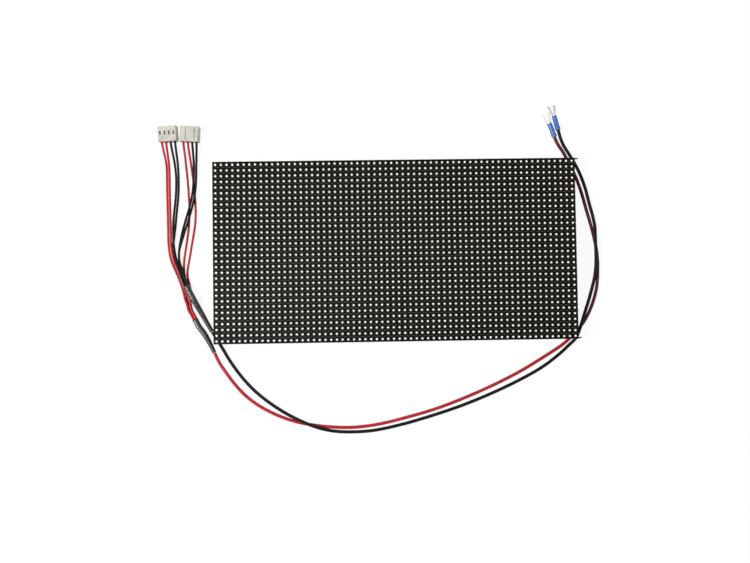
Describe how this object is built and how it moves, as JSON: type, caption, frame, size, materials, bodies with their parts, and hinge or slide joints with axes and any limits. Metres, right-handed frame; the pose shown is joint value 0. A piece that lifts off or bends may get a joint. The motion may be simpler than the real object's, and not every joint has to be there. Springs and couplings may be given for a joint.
{
  "type": "led dot matrix",
  "caption": "Flat rectangular display module with a fine grid of white lamps in a black louvred mask, on a ribbed back frame, with its loose two-core power lead.",
  "frame": {"origin": "middle of the module, on the surface that its four guide pins stand on", "axes": "+X along the long side, towards the side with the two corner prongs; +Y along the short side; +Z from the back frame to the lamps"},
  "size_m": [0.3951, 0.2933, 0.0173],
  "materials": {
    "mask": "matt black moulding",
    "dots": "white lamp bodies with a clear window",
    "board": "glass-filled board with a green lacquer",
    "frame": "matt black moulding",
    "brass": "turned brass",
    "screw_steel": "zinc-plated steel",
    "chip": "moulded black package",
    "ceramic": "fired ceramic",
    "resistor": "black film on ceramic",
    "can_aluminium": "drawn can",
    "black_plastic": "black moulding",
    "white_plastic": "off-white nylon",
    "pin_gold": "gold-flashed pins",
    "pin_tin": "tin plate",
    "wire_red": "soft satin insulation",
    "wire_black": "soft satin insulation",
    "sleeve": "shrunk black sleeve",
    "collar_blue": "glossy blue sleeve"
  },
  "bodies": {
    "root": {"front_mask_left": "mask", "front_mask_right": "mask", "dots": "dots", "circuit_board": "board", "back_frame": "frame", "frame_rails": "frame", "frame_ribs": "frame", "threaded_inserts": "brass", "mask_screws": "screw_steel", "driver_chips": "chip", "row_chips": "chip", "buffer_chips": "chip", "ceramic_capacitors": "ceramic", "resistors": "resistor", "capacitor_cans": "can_aluminium", "capacitor_bases": "black_plastic", "data_sockets": "black_plastic", "data_pins": "pin_gold", "power_header": "white_plastic", "power_pins": "pin_tin", "plug_left": "white_plastic", "plug_right": "white_plastic", "plug_contacts": "pin_tin", "wire_left_red_1": "wire_red", "wire_left_red_2": "wire_red", "wire_left_black_1": "wire_black", "wire_left_black_2": "wire_black", "wire_right_red_1": "wire_red", "wire_right_red_2": "wire_red", "wire_right_black_1": "wire_black", "wire_right_black_2": "wire_black", "sleeve_red": "sleeve", "sleeve_black": "sleeve", "lead_red": "wire_red", "lead_black": "wire_black", "fork_collars": "collar_blue", "fork_terminals": "pin_tin"}
  },
  "joints": []
}
